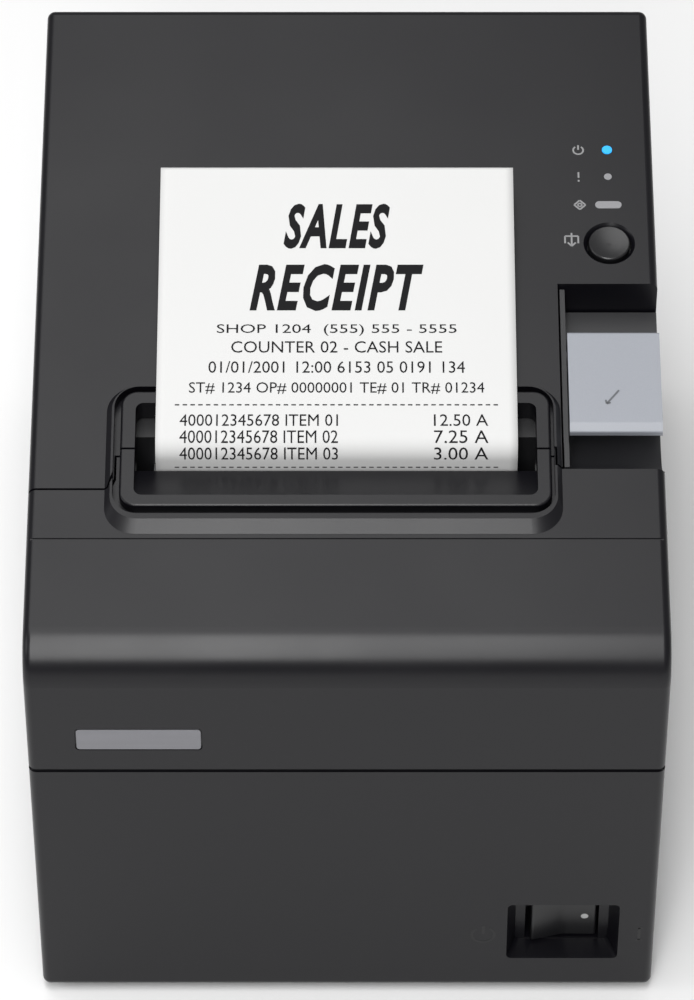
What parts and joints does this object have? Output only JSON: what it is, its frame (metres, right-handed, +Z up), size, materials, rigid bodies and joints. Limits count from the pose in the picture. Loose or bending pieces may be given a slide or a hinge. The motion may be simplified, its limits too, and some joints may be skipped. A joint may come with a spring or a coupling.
{
  "type": "receipt printer",
  "caption": "Desktop thermal receipt printer with a sloping lift-up roll cover, sliding front cover, opening lever, paper mouth and control panel.",
  "frame": {"origin": "on the table, under the centre of the case footprint", "axes": "+X to the right as the user sees the front, +Y to the back, +Z up"},
  "size_m": [0.14, 0.199, 0.1459],
  "materials": {
    "case_plastic": "fine spark-eroded texture, charcoal",
    "inner_plastic": "smooth, black",
    "rubber": "matt",
    "steel": "zinc plated",
    "motor_can": "plated can",
    "aluminium": "extruded",
    "supply_case": "pressed sheet",
    "circuit_board": "solder mask",
    "chip": "moulded",
    "port_metal": "plated",
    "ceramic": "glazed strip",
    "cable_film": "film",
    "lever_grey": "satin light grey",
    "button_black": "polished",
    "badge_silver": "satin silver",
    "lamp_blue": "lit lens",
    "lamp_clear": "unlit lens",
    "paper": "thermal paper",
    "card": "card tube"
  },
  "bodies": {
    "base": {"bottom_case": "case_plastic", "middle_case": "case_plastic", "rubber_feet": "rubber", "case_screws": "steel", "switch_housing": "case_plastic", "paper_bin": "inner_plastic", "chassis_frame": "steel", "main_board": "circuit_board", "board_chips": "chip", "power_supply": "supply_case", "ac_inlet": "chip", "usb_port": "port_metal", "serial_port": "port_metal", "drawer_port": "chip", "interface_plate": "steel", "flat_cable": "cable_film", "lever_deck": "case_plastic", "lever_pin": "steel", "hinge_pins": "steel", "feed_motor": "motor_can", "head_springs": "steel", "cutter_frame": "steel", "cutter_motor": "motor_can", "paper_web": "paper"},
    "roll_cover": {"roll_cover": "case_plastic", "platen_holder": "inner_plastic", "platen_bushings": "inner_plastic", "fixed_blade": "steel", "panel_board": "circuit_board", "power_lamp": "lamp_blue", "error_lamp": "lamp_clear", "paper_lamp": "lamp_clear", "receipt_paper": "paper"},
    "front_cover": {"front_cover": "case_plastic", "blank_badge": "badge_silver"},
    "platen": {"platen_rubber": "rubber", "platen_shaft": "steel", "platen_gear": "inner_plastic"},
    "idler": {"idler_gear": "inner_plastic"},
    "pinion": {"motor_pinion": "inner_plastic"},
    "paper_supply": {"paper_roll": "paper", "roll_core": "card"},
    "head": {"print_head": "ceramic", "heat_sink": "aluminium"},
    "crank": {"crank_gear": "inner_plastic"},
    "blade": {"moving_blade": "steel"},
    "cutter_drive": {"cutter_pinion": "inner_plastic", "cutter_knob": "inner_plastic"},
    "lever": {"cover_lever": "lever_grey"},
    "latch": {"latch_hooks": "steel", "latch_shaft": "steel"},
    "button": {"feed_button": "button_black"},
    "rocker": {"power_rocker": "chip"}
  },
  "joints": [
    {"name": "cover_hinge", "type": "hinge", "parent": "base", "child": "roll_cover", "pos_m": [0, 0.0927, 0.10223], "axis": [-1, 0, 0], "range_deg": [0, 95]},
    {"name": "front_cover_slide", "type": "slide", "parent": "base", "child": "front_cover", "axis": [0, -1, 0], "range_m": [0, 0.025]},
    {"name": "lever_lift", "type": "hinge", "parent": "base", "child": "lever", "pos_m": [0.06, -0.01597, 0.12419], "axis": [-1, 0, 0], "range_deg": [0, 25], "stiffness_Nm_per_rad": 0.06, "springref_deg": -5.73},
    {"name": "latch_turn", "type": "hinge", "parent": "base", "child": "latch", "pos_m": [0, -0.026, 0.089], "axis": [-1, 0, 0], "range_deg": [0, 15]},
    {"name": "feed_press", "type": "slide", "parent": "roll_cover", "child": "button", "axis": [0, 0.1799, -0.9837], "range_m": [0, 0.001], "stiffness_N_per_m": 300},
    {"name": "power_rock", "type": "hinge", "parent": "base", "child": "rocker", "pos_m": [0.0491, -0.0907, 0.022], "axis": [0, 0, -1], "range_deg": [0, 14]},
    {"name": "platen_spin", "type": "hinge", "parent": "roll_cover", "child": "platen", "pos_m": [0, -0.0398, 0.098], "axis": [1, 0, 0], "continuous": true},
    {"name": "idler_spin", "type": "hinge", "parent": "base", "child": "idler", "pos_m": [0.045, -0.0398, 0.08425], "axis": [1, 0, 0], "continuous": true},
    {"name": "pinion_spin", "type": "hinge", "parent": "base", "child": "pinion", "pos_m": [0.045, -0.04615, 0.07325], "axis": [1, 0, 0], "continuous": true},
    {"name": "roll_spin", "type": "hinge", "parent": "base", "child": "paper_supply", "pos_m": [-0.0023, 0.022, 0.08], "axis": [1, 0, 0], "continuous": true},
    {"name": "head_tilt", "type": "hinge", "parent": "base", "child": "head", "pos_m": [0, -0.052, 0.0845], "axis": [1, 0, 0], "range_deg": [0, 3], "stiffness_Nm_per_rad": 2},
    {"name": "crank_turn", "type": "hinge", "parent": "base", "child": "crank", "pos_m": [-0.0022, -0.078, 0.1], "axis": [0, 0, 1], "range_deg": [0, 120]},
    {"name": "blade_slide", "type": "slide", "parent": "base", "child": "blade", "axis": [0, 1, 0], "range_m": [0, 0.00468]},
    {"name": "cutter_knob_turn", "type": "hinge", "parent": "base", "child": "cutter_drive", "pos_m": [0.0123, -0.078, 0.1], "axis": [0, 0, 1], "range_deg": [-240, 0]}
  ],
  "couplings": [
    {"joint": "latch_turn", "follows": "lever_lift", "ratio": 0.6},
    {"joint": "idler_spin", "follows": "platen_spin", "ratio": -0.625},
    {"joint": "pinion_spin", "follows": "platen_spin", "ratio": 1.25},
    {"joint": "roll_spin", "follows": "platen_spin", "ratio": 0.17647},
    {"joint": "crank_turn", "follows": "blade_slide", "rad_per_m": 447.81},
    {"joint": "cutter_knob_turn", "follows": "blade_slide", "rad_per_m": -895.61}
  ]
}
